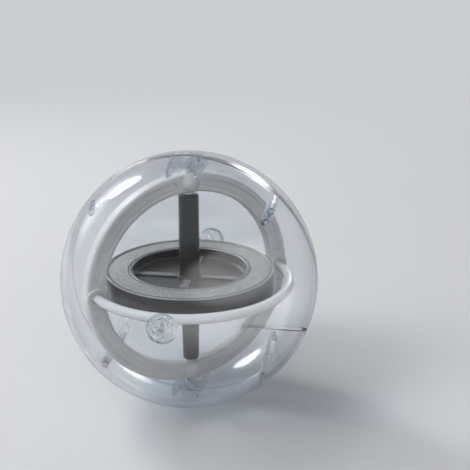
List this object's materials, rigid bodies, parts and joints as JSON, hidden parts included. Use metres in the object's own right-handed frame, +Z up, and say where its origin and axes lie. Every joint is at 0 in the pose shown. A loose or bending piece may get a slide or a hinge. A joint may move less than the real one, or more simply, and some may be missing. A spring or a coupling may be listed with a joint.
{
  "type": "gyroscope",
  "caption": "Toy gyroscope in a clear two-part ball: a weighted rotor spins in a ring frame that swivels on ball ends seated in the ball's wall.",
  "frame": {"origin": "centre of the ball, which is also the rotor's centre", "axes": "+Z up along the rotor's axle; the ring frame stands in the XZ plane with its front at -Y; the ball parts in an upright plane turned 37 degrees clockwise from XZ, seen from above"},
  "size_m": [0.09, 0.09, 0.09],
  "materials": {
    "clear_plastic": "gloss",
    "white_plastic": "satin",
    "hoop_plastic": "gloss",
    "dark_plastic": "satin",
    "weight_steel": "fine grained",
    "pin_steel": "polished"
  },
  "bodies": {
    "rear_half": {"rear_shell": "clear_plastic"},
    "front_half": {"front_shell": "clear_plastic"},
    "frame": {"frame_ring_front": "white_plastic", "frame_ring_rear": "white_plastic", "top_swivel_stud": "white_plastic", "bottom_swivel_stud": "white_plastic", "top_bearing_cup": "pin_steel", "bottom_bearing_cup": "pin_steel", "front_guard_hoop": "hoop_plastic", "rear_guard_hoop": "hoop_plastic"},
    "rotor": {"rotor_wheel": "dark_plastic", "weight_ring": "weight_steel", "upper_axle_tube": "dark_plastic", "lower_axle_tube": "dark_plastic", "top_pivot_pin": "pin_steel", "bottom_pivot_pin": "pin_steel"}
  },
  "joints": [
    {"name": "frame_swivel", "type": "hinge", "parent": "rear_half", "child": "frame", "pos_m": [0, 0, 0], "axis": [0, 0, 1], "continuous": true},
    {"name": "rotor_spin", "type": "hinge", "parent": "frame", "child": "rotor", "pos_m": [0, 0, 0], "axis": [0, 0, 1], "continuous": true},
    {"name": "front_half_pull", "type": "slide", "parent": "rear_half", "child": "front_half", "axis": [-0.6018, -0.7986, 0], "range_m": [0, 0.06]}
  ]
}
